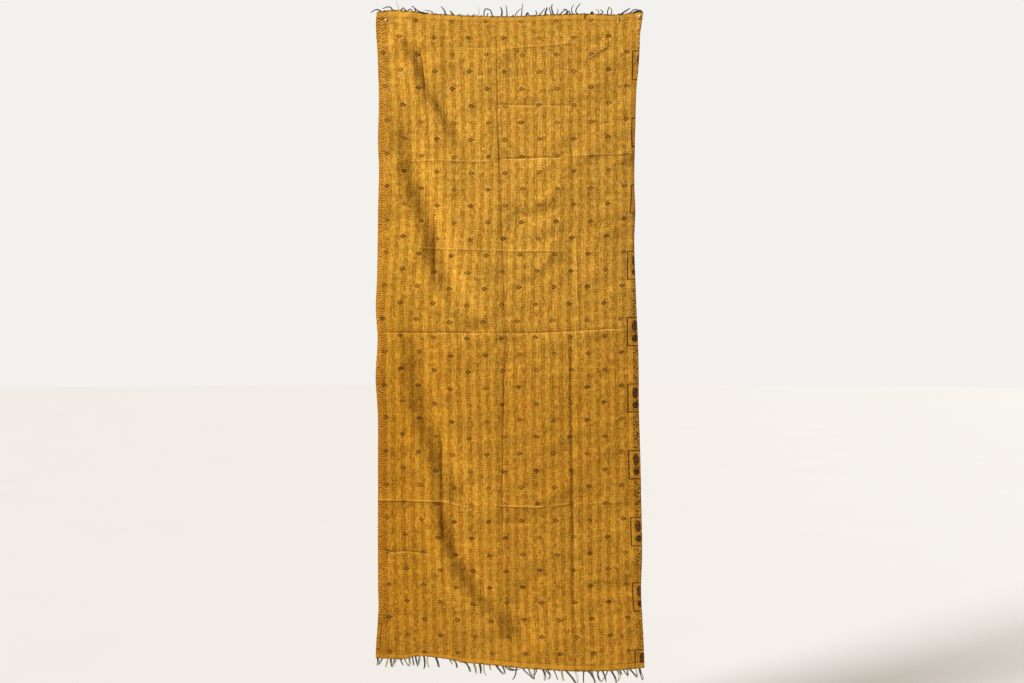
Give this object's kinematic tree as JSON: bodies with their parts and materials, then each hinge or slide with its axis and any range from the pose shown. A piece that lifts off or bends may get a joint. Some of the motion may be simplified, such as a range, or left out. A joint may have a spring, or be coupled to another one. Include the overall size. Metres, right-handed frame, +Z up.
{
  "type": "kantha throw with two wall pins",
  "caption": "Long narrow hand-quilted cotton throw hung face on from wall pins at its top corners, with soft drag folds, a sagging top edge and loose yarn fringes at head and foot.",
  "frame": {"origin": "middle of the throw's top edge, projected onto the wall plane behind it, Y = 0", "axes": "+Z up along the throw's length, +X to the viewer's right across its width, +Y into the wall, so the printed face looks along -Y"},
  "size_m": [0.875, 0.0462, 2.2154],
  "materials": {
    "printed_cotton": "matt hand-quilted cotton, mustard gold with fine darker stripes, small dark motifs and border blocks",
    "fringe_yarn": "matt dark green-black cotton yarn with some pale ends",
    "pin_paint": "white round pin head, slightly shiny"
  },
  "bodies": {
    "root": {"cloth": "printed_cotton", "top_fringe": "fringe_yarn", "bottom_fringe": "fringe_yarn", "left_pin": "pin_paint", "right_pin": "pin_paint"}
  },
  "joints": []
}
